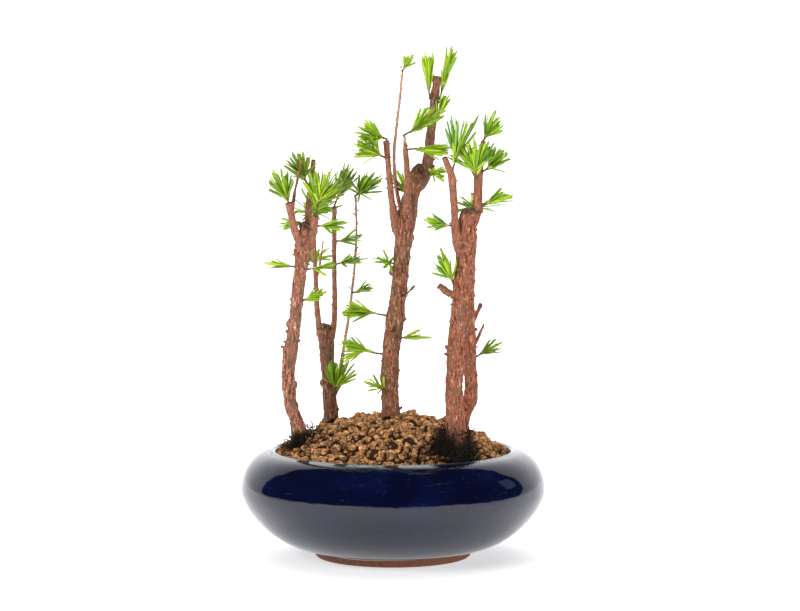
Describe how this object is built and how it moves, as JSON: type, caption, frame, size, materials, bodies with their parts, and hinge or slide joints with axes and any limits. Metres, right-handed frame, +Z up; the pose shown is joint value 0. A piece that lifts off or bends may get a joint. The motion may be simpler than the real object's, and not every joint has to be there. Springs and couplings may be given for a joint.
{
  "type": "dawn redwood bonsai",
  "caption": "Group of slim upright dawn redwood trees with tufts of young spring needles, growing from a mound of clay grains in a low round glazed pot.",
  "frame": {"origin": "centre of the flat underside of the pot", "axes": "+Z up along the trees, -Y towards the side that is seen from the front, +X to the right of that view"},
  "size_m": [0.24, 0.24, 0.4046],
  "materials": {
    "bark": "flaking reddish brown bark",
    "young_bark": "coppery young bark",
    "needles": "soft satin spring green",
    "glaze": "glossy dark cobalt glaze over a bare foot",
    "clay_grains": "rough baked clay grains"
  },
  "bodies": {
    "root": {"bough_centre_front": "young_bark", "bough_centre_left": "young_bark", "bough_front_left": "young_bark", "bough_front_right": "young_bark", "bough_left_right": "young_bark", "bough_left_stub": "young_bark", "bough_left_tall": "young_bark", "bough_slim_left": "young_bark", "bough_slim_right": "young_bark", "leader": "young_bark", "needles_back_right": "needles", "needles_centre_back": "needles", "needles_centre_foot": "needles", "needles_centre_front_side": "needles", "needles_centre_front_tip": "needles", "needles_centre_left_side": "needles", "needles_centre_left_tip": "needles", "needles_centre_low_left": "needles", "needles_centre_low_right": "needles", "needles_centre_mid": "needles", "needles_centre_shelf": "needles", "needles_front_back": "needles", "needles_front_inner": "needles", "needles_front_left": "needles", "needles_front_left_mid": "needles", "needles_front_left_side": "needles", "needles_front_right": "needles", "needles_front_right_low": "needles", "needles_front_right_side": "needles", "needles_leader_left": "needles", "needles_leader_low": "needles", "needles_leader_side": "needles", "needles_leader_top": "needles", "needles_left_back": "needles", "needles_left_crown": "needles", "needles_left_inner": "needles", "needles_left_low": "needles", "needles_left_lower": "needles", "needles_left_outer": "needles", "needles_left_shelf": "needles", "needles_left_side": "needles", "needles_left_under": "needles", "needles_slim_back": "needles", "needles_slim_foot": "needles", "needles_slim_head": "needles", "needles_slim_side": "needles", "needles_slim_top": "needles", "needles_whip_centre": "needles", "needles_whip_mid": "needles", "needles_whip_top": "needles", "needles_whip_upper": "needles", "pot": "glaze", "soil": "clay_grains", "trunk_back": "bark", "trunk_centre": "bark", "trunk_front": "bark", "trunk_left": "bark", "trunk_slim": "bark", "whip_centre": "young_bark", "whip_slim": "young_bark"}
  },
  "joints": []
}
